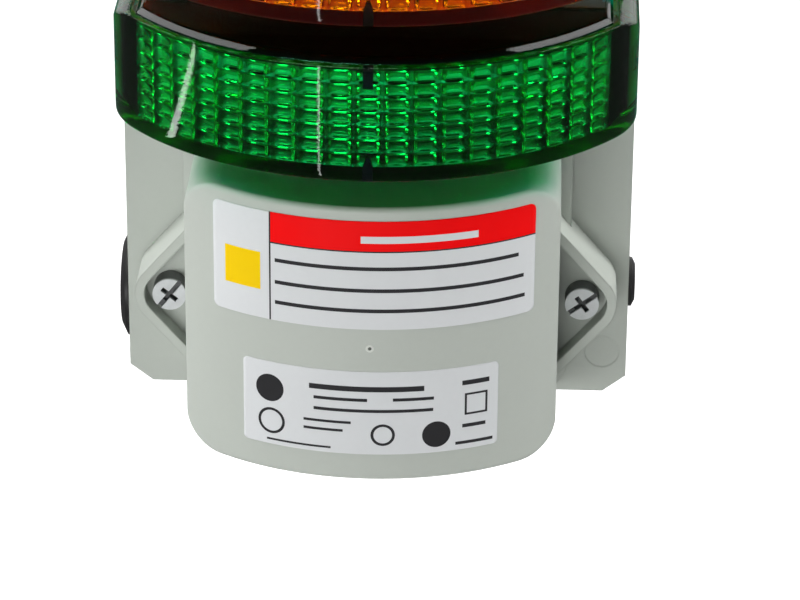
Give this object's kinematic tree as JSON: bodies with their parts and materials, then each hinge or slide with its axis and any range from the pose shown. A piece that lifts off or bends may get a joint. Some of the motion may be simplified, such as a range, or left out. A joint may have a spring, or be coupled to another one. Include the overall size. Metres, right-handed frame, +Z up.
{
  "type": "signal light",
  "caption": "Wall-mounted stack light with coloured half-round lenses on a shallow back housing, a bowed wiring cover held by ear screws below and a plain cap on top.",
  "frame": {"origin": "middle of the four wall holes, on the wall plane behind the housing", "axes": "+X to the right as seen from the front, +Y into the wall, +Z up; the front looks along -Y"},
  "size_m": [0.0934, 0.0672, 0.1662],
  "materials": {
    "housing_grey": "moulded light grey plastic, fine satin grain",
    "cover_grey": "moulded light grey plastic, smooth satin",
    "lens_green": "clear dark green, polished",
    "lens_amber": "clear amber, polished",
    "lens_red": "clear red, polished",
    "seal_rubber": "black moulded rubber",
    "black_plastic": "black moulded plastic",
    "board": "green lacquered circuit board",
    "led": "pale moulded diode body",
    "terminal_green": "green moulded plastic",
    "zinc": "bright zinc plate"
  },
  "bodies": {
    "root": {"back_housing": "housing_grey", "front_cover": "cover_grey", "top_cap": "cover_grey", "wall_gasket": "seal_rubber", "cover_gasket": "seal_rubber", "lens_seals": "seal_rubber", "cap_seal": "seal_rubber", "plug_seals": "seal_rubber", "lens_green": "lens_green", "lens_amber": "lens_amber", "lens_red": "lens_red", "tier_shades": "black_plastic", "led_board_green": "board", "led_board_amber": "board", "led_board_red": "board", "main_board": "board", "terminal_board": "board", "leds_green": "led", "leds_amber": "led", "leds_red": "led", "cover_screws": "zinc", "module_screws": "zinc", "board_screws": "zinc", "main_board_screws": "zinc", "terminal_screws": "zinc", "link_headers": "black_plastic", "sounder": "black_plastic", "terminal_block": "terminal_green", "side_plug_left": "black_plastic", "side_plug_right": "black_plastic"}
  },
  "joints": []
}
